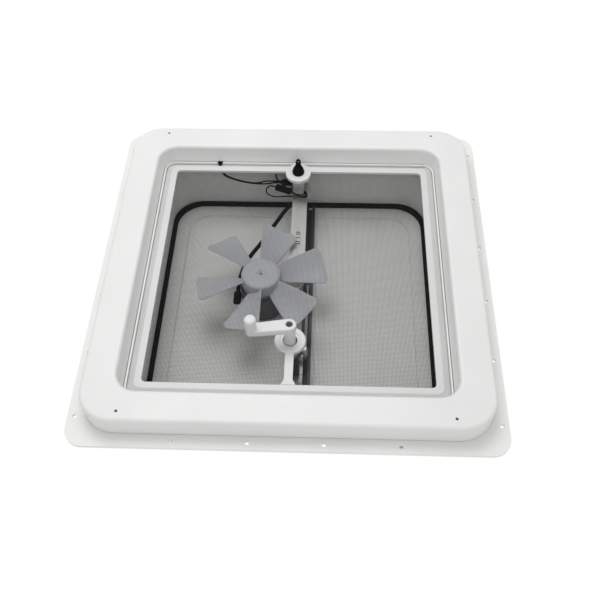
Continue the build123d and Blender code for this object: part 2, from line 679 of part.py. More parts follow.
# ============================================================ fan and motor
with BuildPart() as fan_bracket:
    with BuildSketch(Plane.XY.offset(STRAP_Z)):
        with BuildLine():
            Polyline(
                (STRAP_X[0], -CURB_IN / 2), (STRAP_X[1], -CURB_IN / 2),
                (STRAP_X[1], FAN_Y - 2), (STRAP_X[1] - 9, FAN_Y + 9), (FAN_X, FAN_Y + 9),
                (FAN_X, FAN_Y - 14), (STRAP_X[0] - 12, FAN_Y - 20), (STRAP_X[0], FAN_Y - 44),
                close=True,
            )
        make_face()
        with Locations((FAN_X, FAN_Y)):
            Circle(22)
            Circle(5.2, mode=Mode.SUBTRACT)
        with Locations(BRACKET_SCREW):
            Circle(2.1, mode=Mode.SUBTRACT)
        with Locations((FAN_X - 9, FAN_Y), (FAN_X + 9, FAN_Y)):
            Circle(1.6, mode=Mode.SUBTRACT)
    extrude(amount=STRAP_T)
finish(fan_bracket, "fan_bracket")

HEAD_Z = STRAP_Z - RING_T
with BuildPart() as bracket_screw:
    with BuildSketch(Plane.XY.offset(HEAD_Z)):
        with Locations(BRACKET_SCREW):
            Circle(4)
    extrude(amount=-2.2, taper=18)
    with BuildSketch(Plane.XY.offset(HEAD_Z)):
        with Locations(BRACKET_SCREW):
            Circle(1.8)
    extrude(amount=9)
    with BuildSketch(Plane.XY.offset(HEAD_Z - 2.4)):
        with Locations(BRACKET_SCREW):
            Rectangle(4.6, 0.9)
            Rectangle(0.9, 4.6)
    extrude(amount=1.1, mode=Mode.SUBTRACT)
finish(bracket_screw, "bracket_screw")

with BuildPart() as motor_screws:
    with BuildSketch(Plane.XY.offset(STRAP_Z)):
        with Locations((FAN_X - 9, FAN_Y), (FAN_X + 9, FAN_Y)):
            Circle(2.8)
    extrude(amount=-1.6)
    with BuildSketch(Plane.XY.offset(STRAP_Z)):
        with Locations((FAN_X - 9, FAN_Y), (FAN_X + 9, FAN_Y)):
            Circle(1.5)
    extrude(amount=STRAP_T)
finish(motor_screws, "motor_screws")

MOTOR_Z = STRAP_Z + STRAP_T
with BuildPart() as motor_can:
    with BuildSketch(Plane.XY.offset(MOTOR_Z)):
        with Locations((FAN_X, FAN_Y)):
            Circle(MOTOR_R)
    extrude(amount=MOTOR_TOP - 4 - MOTOR_Z)
    fillet(motor_can.edges().group_by(Axis.Z)[0], 2)
    with BuildSketch(Plane.XY.offset(MOTOR_Z + 1.5)):
        with Locations((FAN_X, FAN_Y)):
            Circle(MOTOR_R - 1.2)
    extrude(amount=40, mode=Mode.SUBTRACT)
    with BuildSketch(Plane.XY.offset(MOTOR_Z - 1.6)):
        with Locations((FAN_X, FAN_Y)):
            Circle(5)
    extrude(amount=3)
    with BuildSketch(Plane.XY.offset(MOTOR_Z - 3)):
        with Locations((FAN_X, FAN_Y)):
            Circle(MOTOR_SHAFT_R + RUN)
    extrude(amount=8, mode=Mode.SUBTRACT)
finish(motor_can, "motor_can")

with BuildPart() as motor_armature:
    with BuildSketch(Plane.XY.offset(MOTOR_Z + 5)):
        with Locations((FAN_X, FAN_Y)):
            Circle(15)
            with PolarLocations(14, 5):
                Rectangle(6, 2.4, mode=Mode.SUBTRACT)
    extrude(amount=18)
    with BuildSketch(Plane.XY.offset(HUB_Z[0] + 4)):
        with Locations((FAN_X, FAN_Y)):
            Circle(MOTOR_SHAFT_R)
    extrude(amount=MOTOR_TOP - 3 - HUB_Z[0] - 4)
finish(motor_armature, "motor_armature")

with BuildPart() as motor_end_cap:
    with BuildSketch(Plane.XY.offset(MOTOR_TOP - 4)):
        with Locations((FAN_X, FAN_Y)):
            Circle(MOTOR_R)
            Circle(MOTOR_SHAFT_R + RUN, mode=Mode.SUBTRACT)
    extrude(amount=2.4)
    with BuildSketch(Plane.XY.offset(MOTOR_TOP - 1.6)):
        with Locations((FAN_X, FAN_Y)):
            Circle(8)
    extrude(amount=1.6)
    fillet(motor_end_cap.edges().group_by(Axis.Z)[-1], 0.6)
finish(motor_end_cap, "motor_end_cap")

with BuildPart() as fan:
    with BuildSketch(Plane.XY.offset(HUB_Z[0])):
        with Locations((FAN_X, FAN_Y)):
            Circle(HUB_R)
    extrude(amount=HUB_Z[1] - HUB_Z[0])
    fillet(fan.edges().group_by(Axis.Z)[0], 2.4)
    with BuildSketch(Plane.XY.offset(HUB_Z[0] + 2)):
        with Locations((FAN_X, FAN_Y)):
            Circle(HUB_R - 1.8)
    extrude(amount=30, mode=Mode.SUBTRACT)
    with BuildSketch(Plane.XY.offset(HUB_Z[0] + 1.5)):
        with Locations((FAN_X, FAN_Y)):
            Circle(4.5)
    extrude(amount=HUB_Z[1] - HUB_Z[0] - 3)
    # pitched blades, flatter and broader towards the tip
    for blade in range(BLADES):
        angle = FIRST_BLADE + 60 * blade
        spoke = Vector(cos(radians(angle)), sin(radians(angle)), 0)
        across = Vector(-sin(radians(angle)), cos(radians(angle)), 0)
        mid = Vector(FAN_X, FAN_Y, sum(HUB_Z) / 2 - 1)
        for reach, chord, pitch in ((HUB_R - 1, 21, 38), (FAN_R - 1, 50, 17)):
            tilt = across * cos(radians(pitch)) + Vector(0, 0, 1) * sin(radians(pitch))
            with BuildSketch(Plane(origin=mid + spoke * reach, x_dir=tilt, z_dir=spoke)):
                RectangleRounded(chord, BLADE_T, 0.6)
        loft()
    with BuildSketch(Plane.XY.offset(HUB_Z[0] - 1)):
        with Locations((FAN_X, FAN_Y)):
            Circle(MOTOR_SHAFT_R)
    extrude(amount=40, mode=Mode.SUBTRACT)
finish(fan, "fan")

# =================================================================== switch
with BuildPart() as switch_body:
    with BuildSketch(Plane.XY.offset(BOSS_TOP)):
        with Locations((0, SWITCH_Y)):
            RectangleRounded(SWITCH_BODY[0], SWITCH_BODY[1], 1.5)
    extrude(amount=SWITCH_BODY[2])
    fillet(switch_body.edges().group_by(Axis.Z)[-1], 0.8)
    with BuildSketch(Plane.XY.offset(SWITCH_BOSS_Z - 1.6)):
        with Locations((0, SWITCH_Y)):
            Circle(BUSH_R)
    extrude(amount=BOSS_TOP - SWITCH_BOSS_Z + 1.6)
    with BuildSketch(Plane.XY.offset(SWITCH_BOSS_Z - 2)):
        with Locations((0, SWITCH_Y)):
            Circle(4.6)
    extrude(amount=10, mode=Mode.SUBTRACT)
finish(switch_body, "switch_body")

with BuildPart() as switch_nut:
    with BuildSketch(Plane.XY.offset(SWITCH_BOSS_Z - 1.6)):
        with Locations((0, SWITCH_Y)):
            RegularPolygon(SWITCH_NUT_R, 6)
            Circle(BUSH_R, mode=Mode.SUBTRACT)
    extrude(amount=1.6)
finish(switch_nut, "switch_nut")

lean = Vector(0, -sin(radians(LEVER_TILT)), -cos(radians(LEVER_TILT)))
lever_root = Vector(0, SWITCH_Y, LEVER_PIVOT_Z)
LEVER_PLANE = Plane(origin=lever_root, x_dir=(1, 0, 0), z_dir=lean)
with BuildPart() as switch_lever:
    Sphere(3.2)
    Cone(2.0, 1.7, 14, align=(Align.CENTER, Align.CENTER, Align.MIN))
    with Locations((0, 0, 14)):
        Cone(1.7, 2.4, 6.5, align=(Align.CENTER, Align.CENTER, Align.MIN))
switch_lever.part = LEVER_PLANE * switch_lever.part
finish(switch_lever, "switch_lever")

with BuildPart() as switch_boot:
    with BuildSketch(Plane.XZ):
        with BuildLine():
            Polyline(
                (2.55, 8.2), (6.0, 8.2), (4.2, 12.5), (3.5, 20.6), (2.4, 22.4), (0, 22.4),
                (0, 20.9), (2.55, 20.9), close=True,
            )
        make_face()
    revolve(axis=Axis.Z)
switch_boot.part = LEVER_PLANE * switch_boot.part
finish(switch_boot, "switch_boot")

TERMINAL_Z = BOSS_TOP + SWITCH_BODY[2]
CONNECTOR_Z = TERMINAL_Z + 0.4
TERMINALS = [
    Plane(origin=(-3, SWITCH_Y - 8.5, CONNECTOR_Z)).rotated((0, 0, 0)),
    Plane(origin=(-3, SWITCH_Y + 10.5, CONNECTOR_Z)).rotated((0, 0, CONNECTOR_TURN)),
]
CONNECTOR_X = ((-5, -19), (-7, -29))
with BuildPart() as switch_terminals:
    for terminal, (near, far) in zip(TERMINALS, CONNECTOR_X):
        with BuildSketch(terminal.offset(-0.4)):
            with Locations(((near - 5) / 2 - 1, 0)):
                Rectangle(7 - near, 5)
        extrude(amount=0.8)
finish(switch_terminals, "switch_terminals")

with BuildPart() as spade_connectors:
    for terminal, (near, far) in zip(TERMINALS, CONNECTOR_X):
        with BuildSketch(terminal.offset(-2.3)):
            with Locations(((near + far) / 2, 0)):
                RectangleRounded(near - far, 7.6, 1.2)
        extrude(amount=4.6)
        with BuildSketch(terminal.offset(-0.4)):
            with Locations((near - 5, 0)):
                Rectangle(10.2, 5)
        extrude(amount=0.8, mode=Mode.SUBTRACT)
finish(spade_connectors, "spade_connectors")

# ring under the strap screw, its tongue and the barrel that grips the earth wire
TONGUE_DIR = Vector(0.62, 0.78, 0).normalized()
BARREL_DIR = Vector(0.62, 0.78, -0.2).normalized()
SCREW_SPOT = Vector(BRACKET_SCREW[0], BRACKET_SCREW[1], 0)
BARREL_START = SCREW_SPOT + TONGUE_DIR * 5.5 + Vector(0, 0, HEAD_Z - 0.9)
BARREL_LENGTH = 6.0
BARREL_END = BARREL_START + BARREL_DIR * BARREL_LENGTH
with BuildPart() as ring_terminal:
    with BuildSketch(Plane(origin=SCREW_SPOT + Vector(0, 0, HEAD_Z), x_dir=TONGUE_DIR)):
        Circle(4.4)
        with Locations((5, 0)):
            Rectangle(4, 2.6)
        Circle(1.8, mode=Mode.SUBTRACT)
    extrude(amount=RING_T)
    with BuildSketch(Plane(origin=BARREL_START, z_dir=BARREL_DIR)):
        Circle(1.5)
    extrude(amount=BARREL_LENGTH)
finish(ring_terminal, "ring_terminal")

with BuildPart() as terminal_sleeve:
    with BuildSketch(Plane(origin=BARREL_START + BARREL_DIR * 1.6, z_dir=BARREL_DIR)):
        Circle(1.9)
        Circle(1.5, mode=Mode.SUBTRACT)
    extrude(amount=BARREL_LENGTH)
finish(terminal_sleeve, "terminal_sleeve")

# ==================================================================== wires
WIRE_R = 1.0
MOTOR_WIRE_R = 0.85
MOTOR_LEAD_R = 2.6
PAIR_STEP = Vector(1.0, -2.0, 1.7)     # from the feed wire to the earth wire beside it
PAIR_ROUTE = [
    (-126, -196, -5.4), (-113, -187, -4.9), (-104, -176, -4.1), (-102, -164, -2.6),
    (-97, -157, 2.5), (-84, -153.5, 6.5), (-70, -151.5, 9), (-56, -151.5, 11.5),
]
FEED_END = TERMINALS[0].from_local_coords(Vector(CONNECTOR_X[0][1], 0, 0))
FEED_ROUTE = [Vector(*point) for point in PAIR_ROUTE] + [
    Vector(-43, -154, 14.5), FEED_END - Vector(9, 0, 0), FEED_END,
]
# the earth wire drops into one flat loop, then climbs past the switch to its ring
EARTH_LOOP = [
    (-43, -156.5, 11.5), (-31, -154, 9), (-17, -152.8, 7), (-12.8, -160, 5.5), (-17, -167, 4.5),
    (-26, -167, 4), (-30.4, -159.5, 4), (-27, -151.5, 4.5), (-18, -143.5, 7.5), (-5.2, -137.5, 14.5),
    (5.1, -133.5, 17), (10.7, -136.5, 19.5),
]
EARTH_ROUTE = (
    [Vector(*point) + PAIR_STEP for point in PAIR_ROUTE]
    + [Vector(*point) for point in EARTH_LOOP]
    + [BARREL_END + BARREL_DIR * 6, BARREL_END]
)
MOTOR_WIRE_START = TERMINALS[1].from_local_coords(Vector(CONNECTOR_X[1][1], 0, 0))
MOTOR_WIRE_OUT = TERMINALS[1].from_local_coords(Vector(CONNECTOR_X[1][1] - 8, 0, 0.3))
LEAD_MOUTH = (-9, -136, 31.5)
MOTOR_WIRE_ROUTE = [
    MOTOR_WIRE_START, MOTOR_WIRE_OUT, (-43.5, -155.5, 24.5), (-42.5, -152.5, 31),
    (-34, -149.5, 33.5), (-25, -148.3, 32.5), (-16, -148.8, 31.5), (-8, -148.7, 31.5),
    (-4.5, -142.5, 30.75), LEAD_MOUTH,
]
MOTOR_LEAD_ROUTE = [
    LEAD_MOUTH, (-18, -123, 33), (-26, -108, 34.5), (-36, -89, 35), (-46, -69, 35.5),
    (-57, -51, 36), (-65, -33, 38), (-69, -14, 42), (-69, 4, 42),
]


def wire(points, radius, node):
    """One insulated wire along a route, written as its own node."""
    with BuildPart() as tube:
        with BuildLine():
            path = route(points, node)
        with BuildSketch(Plane(origin=path @ 0, z_dir=path % 0)):
            Circle(radius)
        sweep(path=path)
    finish(tube, node)
    print(node, "length", round(path.length, 1))
    return path


feed_path = wire(FEED_ROUTE, WIRE_R, "feed_wire")
earth_path = wire(EARTH_ROUTE, WIRE_R, "earth_wire")
wire(MOTOR_WIRE_ROUTE, MOTOR_WIRE_R, "motor_wire")
wire(MOTOR_LEAD_ROUTE, MOTOR_LEAD_R, "motor_lead")

with BuildPart() as wire_splices:
    for path in (feed_path, earth_path):
        with BuildSketch(Plane(origin=path @ 0, z_dir=(path % 0) * -1)):
            Circle(1.4)
        extrude(amount=12)
finish(wire_splices, "wire_splices")

with BuildPart() as motor_terminal:
    with BuildSketch(Plane.XZ.offset(-4)):
        with Locations((-69, 42)):
            RectangleRounded(9, 9, 2)
    extrude(amount=-13)
    with BuildSketch(Plane.XY.offset(MOTOR_Z)):
        with Locations((FAN_X, FAN_Y)):
            Circle(MOTOR_R)
    extrude(amount=40, mode=Mode.SUBTRACT)
finish(motor_terminal, "motor_terminal")
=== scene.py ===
"""Looks of a powered caravan roof vent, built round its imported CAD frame. Metres, +Z up to the sky."""
import json
import math

import bmesh
import bpy
from mathutils import Matrix, Vector


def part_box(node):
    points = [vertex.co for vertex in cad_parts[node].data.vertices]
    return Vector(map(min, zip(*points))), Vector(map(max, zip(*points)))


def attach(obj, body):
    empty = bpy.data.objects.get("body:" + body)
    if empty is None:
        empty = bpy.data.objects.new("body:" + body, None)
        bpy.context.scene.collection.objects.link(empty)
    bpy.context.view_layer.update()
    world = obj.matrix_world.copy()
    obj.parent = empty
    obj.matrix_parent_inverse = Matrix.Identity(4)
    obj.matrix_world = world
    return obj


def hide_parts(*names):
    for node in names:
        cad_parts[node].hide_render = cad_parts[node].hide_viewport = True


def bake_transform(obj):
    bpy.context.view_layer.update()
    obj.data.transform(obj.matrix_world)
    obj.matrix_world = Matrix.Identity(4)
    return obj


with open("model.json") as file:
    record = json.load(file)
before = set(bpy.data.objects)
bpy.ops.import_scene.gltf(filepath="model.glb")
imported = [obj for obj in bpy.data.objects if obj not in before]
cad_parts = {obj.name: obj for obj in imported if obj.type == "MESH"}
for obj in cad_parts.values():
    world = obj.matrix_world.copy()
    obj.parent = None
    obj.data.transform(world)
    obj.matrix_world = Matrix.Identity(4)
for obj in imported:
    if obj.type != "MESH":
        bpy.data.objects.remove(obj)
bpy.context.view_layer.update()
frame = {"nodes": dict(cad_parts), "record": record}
NODES = frame["nodes"]
MM = 0.001

# ------------------------------------------------------------------ camera
VIEW_AZIMUTH = math.radians(3.27)
VIEW_ELEVATION = math.radians(54.5)
VIEW_ROLL = math.radians(-1.59)
VIEW_DISTANCE = 0.8485
VIEW_TARGET = Vector((0.0099, 0.0616, -0.028))
LENS_MM = 46.3


def add_camera():
    """A camera in the room, below the vent and on its crank side, looking up at it."""
    back = Vector((
        math.sin(VIEW_AZIMUTH) * math.cos(VIEW_ELEVATION),
        math.cos(VIEW_AZIMUTH) * math.cos(VIEW_ELEVATION),
        -math.sin(VIEW_ELEVATION),
    ))
    level = Vector((math.cos(VIEW_AZIMUTH), -math.sin(VIEW_AZIMUTH), 0))
    upright = back.cross(level)
    right = level * math.cos(VIEW_ROLL) + upright * math.sin(VIEW_ROLL)
    data = bpy.data.cameras.new("camera")
    data.sensor_width = 36
    data.lens = LENS_MM
    data.clip_start = 0.01
    data.clip_end = 50
    camera = bpy.data.objects.new("camera", data)
    axes = Matrix((right, back.cross(right), back)).transposed().to_4x4()
    camera.matrix_world = Matrix.Translation(VIEW_TARGET + back * VIEW_DISTANCE) @ axes
    bpy.context.scene.collection.objects.link(camera)
    bpy.context.scene.camera = camera


# ------------------------------------------------------------------- stage
FLOOR_Z = -1.15
FLOOR_SIZE = 14
WORLD_LIGHT = 0.8         # the surroundings light the part less than they show
LIGHTS = (                # name, place, diameter, watts
    ("room_key", (-0.15, -0.3, -1.05), 0.7, 5),
    ("skirt_fill", (0.2, 1.3, -0.25), 0.6, 1.6),
    ("sky_fill", (-0.7, -0.9, 1.3), 1.2, 6),
)


def add_area_light(name, place, size, watts, aim=(0, 0, 0)):
    data = bpy.data.lights.new(name, "AREA")
    data.shape = "DISK"
    data.size = size
    data.energy = watts
    light = bpy.data.objects.new(name, data)
    light.location = place
    light.rotation_euler = (Vector(aim) - Vector(place)).to_track_quat("-Z", "Y").to_euler()
    bpy.context.scene.collection.objects.link(light)


def add_stage():
    """White surroundings that light the part a little less than they show, a floor, and soft lights."""
    scene = bpy.context.scene
    scene.view_settings.view_transform = "Standard"
    world = bpy.data.worlds.new("studio")
    scene.world = world
    world.use_nodes = True
    tree = world.node_tree
    lighting = tree.nodes["Background"]
    lighting.inputs["Color"].default_value = (1, 1, 1, 1)
    lighting.inputs["Strength"].default_value = WORLD_LIGHT
    backdrop = node(tree, "ShaderNodeBackground", Color=(1, 1, 1, 1), Strength=1.0)
    rays = tree.nodes.new("ShaderNodeLightPath")
    choose = tree.nodes.new("ShaderNodeMixShader")
    tree.links.new(rays.outputs["Is Camera Ray"], choose.inputs[0])
    tree.links.new(lighting.outputs[0], choose.inputs[1])
    tree.links.new(backdrop.outputs[0], choose.inputs[2])
    tree.links.new(choose.outputs[0], tree.nodes["World Output"].inputs["Surface"])
    bpy.ops.mesh.primitive_plane_add(size=FLOOR_SIZE, location=(0, 0, FLOOR_Z))
    floor = bpy.context.object
    floor.name = "floor"
    floor.data.materials.append(material("floor_paper", (0.86, 0.86, 0.86), 0.8))
    for name, place, size, watts in LIGHTS:
        add_area_light(name, place, size, watts)


# --------------------------------------------------------------- materials
def node(tree, kind, **values):
    """A shader node, with its attributes or its inputs set by name."""
    made = tree.nodes.new(kind)
    for name, value in values.items():
        if name in made.inputs:
            made.inputs[name].default_value = value
        else:
            setattr(made, name, value)
    return made


def material(name, colour, roughness, metallic=0.0, **shader):
    """A principled material with flat values; pattern(), vary() and bump() add its detail."""
    made = bpy.data.materials.new(name)
    made.use_nodes = True
    surface = made.node_tree.nodes["Principled BSDF"]
    surface.inputs["Base Color"].default_value = (*colour, 1)
    surface.inputs["Roughness"].default_value = roughness
    surface.inputs["Metallic"].default_value = metallic
    for socket, value in shader.items():
        surface.inputs[socket.replace("_", " ")].default_value = value
    return made


def pattern(made, kind, scale, stretch=(1, 1, 1), **values):
    """A texture in the object's own coordinates, in features per metre."""
    tree = made.node_tree
    coordinates = tree.nodes.new("ShaderNodeTexCoord")
    mapping = node(tree, "ShaderNodeMapping", Scale=[scale * s for s in stretch])
    texture = node(tree, kind, Scale=1.0, **values)
    tree.links.new(coordinates.outputs["Object"], mapping.inputs["Vector"])
    tree.links.new(mapping.outputs["Vector"], texture.inputs["Vector"])
    return texture.outputs["Fac" if "Fac" in texture.outputs else "Distance"]


def vary(made, socket, value, low, high, low_at=0.3, high_at=0.7):
    """Drives a shader socket between two values, or two colours, by a texture."""
    tree = made.node_tree
    ramp = tree.nodes.new("ShaderNodeValToRGB")
    ramp.color_ramp.elements[0].position = low_at
    ramp.color_ramp.elements[1].position = high_at
    for element, level in zip(ramp.color_ramp.elements, (low, high)):
        element.color = (*level, 1) if isinstance(level, tuple) else (level, level, level, 1)
    tree.links.new(value, ramp.inputs["Fac"])
    tree.links.new(ramp.outputs["Color"], tree.nodes["Principled BSDF"].inputs[socket])


def bump(made, value, strength, depth):
    """Raises the surface by a texture: depth in metres."""
    tree = made.node_tree
    relief = node(tree, "ShaderNodeBump", Strength=strength, Distance=depth)
    tree.links.new(value, relief.inputs["Height"])
    tree.links.new(relief.outputs["Normal"], tree.nodes["Principled BSDF"].inputs["Normal"])


def shade(colour, factor):
    return tuple(channel * factor for channel in colour)


def moulded(name, colour, roughness, grain=900, **shader):
    """Injection-moulded plastic: faint cloudiness, uneven gloss and a fine pebbled skin."""
    made = material(name, colour, roughness, **shader)
    cloud = pattern(made, "ShaderNodeTexNoise", 14, Detail=3.0)
    vary(made, "Base Color", cloud, shade(colour, 0.965), shade(colour, 1.01))
    gloss = pattern(made, "ShaderNodeTexNoise", 55, Detail=4.0)
    vary(made, "Roughness", gloss, roughness - 0.05, roughness + 0.07)
    bump(made, pattern(made, "ShaderNodeTexNoise", grain, Detail=2.0), 0.25, 0.00006)
    return made


def brushed(name, colour, roughness, stretch, dark=0.8):
    """Drawn or rolled metal: fine lines along one axis, with a little grime."""
    made = material(name, colour, roughness, 1.0)
    lines = pattern(made, "ShaderNodeTexNoise", 60, stretch, Detail=6.0)
    vary(made, "Base Color", lines, shade(colour, dark), shade(colour, 1.05))
    vary(made, "Roughness", lines, roughness + 0.1, roughness - 0.08)
    bump(made, pattern(made, "ShaderNodeTexNoise", 400, stretch, Detail=3.0), 0.3, 0.00003)
    return made


def spangled(name, colour, roughness, scale=260):
    """Zinc plate: dull crystals of slightly different tone."""
    made = material(name, colour, roughness, 1.0)
    crystals = pattern(made, "ShaderNodeTexVoronoi", scale, Randomness=1.0)
    vary(made, "Base Color", crystals, shade(colour, 0.78), shade(colour, 1.06), 0.1, 0.8)
    vary(made, "Roughness", crystals, roughness + 0.12, roughness - 0.06, 0.1, 0.8)
    bump(made, crystals, 0.12, 0.00004)
    return made


def rubbery(name, colour, roughness):
    """Soft black rubber or PVC: matt, with chalky patches and a fine grain."""
    made = material(name, colour, roughness, Specular_IOR_Level=0.08)
    chalk = pattern(made, "ShaderNodeTexNoise", 120, Detail=5.0)
    vary(made, "Base Color", chalk, shade(colour, 0.7), shade(colour, 1.5), 0.35, 0.8)
    vary(made, "Roughness", chalk, roughness - 0.08, roughness + 0.1)
    bump(made, pattern(made, "ShaderNodeTexNoise", 1400, Detail=2.0), 0.3, 0.00005)
    return made


def painted(name, colour, roughness):
    """Semi-gloss paint on metal, with orange peel and worn specks."""
    made = material(name, colour, roughness, 0.0)
    worn = pattern(made, "ShaderNodeTexNoise", 240, Detail=8.0)
    vary(made, "Base Color", worn, colour, shade(colour, 2.2), 0.6, 0.85)
    vary(made, "Roughness", worn, roughness, roughness + 0.15)
    bump(made, pattern(made, "ShaderNodeTexNoise", 700, Detail=1.0), 0.25, 0.00006)
    return made


ALONG_X = (0.03, 1, 1)
ALONG_Y = (1, 0.03, 1)
ALONG_Z = (1, 1, 0.03)


def make_materials():
    """One material for each of the record's slots."""
    return {
        "white_shell": moulded("white_shell", (0.8, 0.795, 0.775), 0.42),
        "white_trim": moulded("white_trim", (0.735, 0.735, 0.73), 0.42),
        "screen_white": moulded("screen_white", (0.64, 0.64, 0.637), 0.4),
        "insect_mesh": moulded("insect_mesh", (0.022, 0.022, 0.023), 0.7, grain=3000, Specular_IOR_Level=0.15),
        "black_rubber": rubbery("black_rubber", (0.005, 0.005, 0.005), 0.6),
        "black_pvc": rubbery("black_pvc", (0.005, 0.005, 0.0055), 0.5),
        "galvanised": spangled("galvanised", (0.56, 0.57, 0.58), 0.42),
        "dark_track": brushed("dark_track", (0.085, 0.087, 0.09), 0.45, ALONG_Y),
        "bracket_steel": brushed("bracket_steel", (0.7, 0.7, 0.68), 0.5, ALONG_Y, 0.9),
        "bright_steel": brushed("bright_steel", (0.42, 0.42, 0.43), 0.32, ALONG_Z),
        "black_case": painted("black_case", (0.055, 0.055, 0.057), 0.42),
        "acetal": moulded("acetal", (0.4, 0.395, 0.37), 0.5),
        "motor_grey": painted("motor_grey", (0.15, 0.15, 0.155), 0.42),
        # The blades' colour is partly painted shade: a faintly bluish white plastic, set to a darker grey to
        # stand in for the shade the fan sits in inside the vent.
        "milky_plastic": moulded(
            "milky_plastic", (0.55, 0.57, 0.6), 0.42, Subsurface_Weight=0.25, Subsurface_Scale=0.004
        ),
        "brass": brushed("brass", (0.42, 0.38, 0.29), 0.38, ALONG_X),
    }


def paint_cad_nodes(materials):
    """Gives each CAD node its slot's material."""
    for part in frame["record"]["subparts"]:
        for slot in NODES[part["node"]].material_slots:
            slot.material = materials[part["material_slot"]]


# ------------------------------------------------------------- mesh helpers
def add_piece(name, mesh_builder, slot, body, smooth=True):
    """Turns a bmesh into a piece with its slot's material, riding on a body."""
    mesh = bpy.data.meshes.new(name)
    mesh_builder.to_mesh(mesh)
    mesh_builder.free()
    mesh.materials.append(MATERIALS[slot])
    for polygon in mesh.polygons:
        polygon.use_smooth = smooth
    piece = bpy.data.objects.new(name, mesh)
    bpy.context.scene.collection.objects.link(piece)
    if body:
        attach(piece, body)
    return piece


def join_rings(builder, rings, closed=True):
    """Faces between rings of vertices that have the same count."""
    for lower, upper in zip(rings, rings[1:]):
        count = len(lower)
        for i in range(count if closed else count - 1):
            j = (i + 1) % count
            builder.faces.new((lower[i], lower[j], upper[j], upper[i]))


# ------------------------------------------------------------ insect screen
STRAND_R = 0.105 * MM
STRAND_SIDES = 6
PITCH_ACROSS = 25.4 * MM / 18
PITCH_ALONG = 25.4 * MM / 16
SHAFT_HOLE_HALF = 9.6 * MM
SWITCH_HOLE_HALF = 13.5 * MM
WEAVE_OFFSET = 0.9        # how far the two sets of threads part, in thread radii


def clear_spans(low, high, blocked):
    """The parts of a span that are left between blocked stretches."""
    spans = [(low, high)]
    for start, end in sorted(blocked):
        last_low, last_high = spans.pop()
        spans += [(last_low, start), (end, last_high)]
    return spans


def screen_holes():
    """The crank's round hole and the switch's square one, as (centre, half width, round or not)."""
    shaft_low, shaft_high = (Vector(corner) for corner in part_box("crank_shaft"))
    switch_low, switch_high = (Vector(corner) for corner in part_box("switch_body"))
    return (
        ((shaft_low + shaft_high) / 2, SHAFT_HOLE_HALF, True),
        ((switch_low + switch_high) / 2, SWITCH_HOLE_HALF, False),
    )


def strand(builder, axis, at, start, end, z):
    """One thread, a thin open tube along X (axis 0) or Y (axis 1)."""
    rings = []
    for along in (start, end):
        ring = []
        for side in range(STRAND_SIDES):
            turn = 2 * math.pi * side / STRAND_SIDES
            across, up = at + STRAND_R * math.cos(turn), z + STRAND_R * math.sin(turn)
            ring.append(builder.verts.new((along, across, up) if axis == 0 else (across, along, up)))
        rings.append(ring)
    join_rings(builder, rings)


def add_insect_screen():
    """Woven threads, 18 by 16 to the inch, cut round the crank shaft and the switch."""
    low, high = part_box("screen_mesh")
    middle = (low[2] + high[2]) / 2
    holes = screen_holes()
    builder = bmesh.new()
    for axis, pitch in ((0, PITCH_ALONG), (1, PITCH_ACROSS)):
        other = 1 - axis
        count = int((high[other] - low[other]) / pitch)
        first = (low[other] + high[other] - (count - 1) * pitch) / 2
        for index in range(count):
            at = first + index * pitch
            blocked = []
            for centre, half, is_round in holes:
                aside = abs(at - centre[other])
                if aside < half:
                    reach = math.sqrt(half**2 - aside**2) if is_round else half
                    blocked.append((centre[axis] - reach, centre[axis] + reach))
            for start, end in clear_spans(low[axis], high[axis], blocked):
                strand(builder, axis, at, start, end, middle + (axis - 0.5) * WEAVE_OFFSET * STRAND_R)
    piece = add_piece("insect_screen", builder, "insect_mesh", "vent_base")
    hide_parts("screen_mesh")


# --------------------------------------------------------------------- fan
BLADES = 6
FIRST_BLADE = 45
BLADE_STEPS = 10
CHORD_STEPS = 8
HUB_R = 23.5 * MM
HUB_SEGMENTS = 72
TIP_MARGIN = 2.5 * MM     # keeps the blades inside the CAD fan's circle
BLADE_HEIGHT = 8 * MM
BLADE_HALF_T = 0.65 * MM
HUB_PROFILE = (           # radius and height in millimetres, round the wall
    (1.7, 2.0), (4.0, 2.0), (4.6, 0.9), (9.0, 0.4), (19.0, 0.2), (21.6, 0.6), (23.0, 1.7), (23.5, 3.6),
    (23.5, 17.8), (21.9, 17.8), (21.8, 4.2), (20.6, 2.3), (8.0, 2.2), (5.2, 2.6), (5.0, 14.5), (1.7, 14.5),
)


def add_fan():
    """A moulded hub and six cupped blades, broad at the tip."""
    low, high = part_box("fan")
    hub_low, hub_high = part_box("motor_can")
    centre = Vector(((hub_low[0] + hub_high[0]) / 2, (hub_low[1] + hub_high[1]) / 2, 0))
    reach = (high[0] - low[0]) / 2 - TIP_MARGIN
    builder = bmesh.new()
    rings = []
    for radius, height in HUB_PROFILE:
        ring = []
        for step in range(HUB_SEGMENTS):
            turn = 2 * math.pi * step / HUB_SEGMENTS
            ring.append(builder.verts.new((
                centre.x + radius * MM * math.cos(turn),
                centre.y + radius * MM * math.sin(turn),
                low[2] + height * MM,
            )))
        rings.append(ring)
    join_rings(builder, rings + rings[:1])
    for blade in range(BLADES):
        turn = math.radians(FIRST_BLADE + 360 / BLADES * blade)
        add_blade(builder, centre, reach, low[2] + BLADE_HEIGHT, turn)
    bmesh.ops.recalc_face_normals(builder, faces=builder.faces)
    piece = add_piece("fan_impeller", builder, "milky_plastic", "fan")
    edge_soften(piece, 0.3 * MM)
    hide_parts("fan")


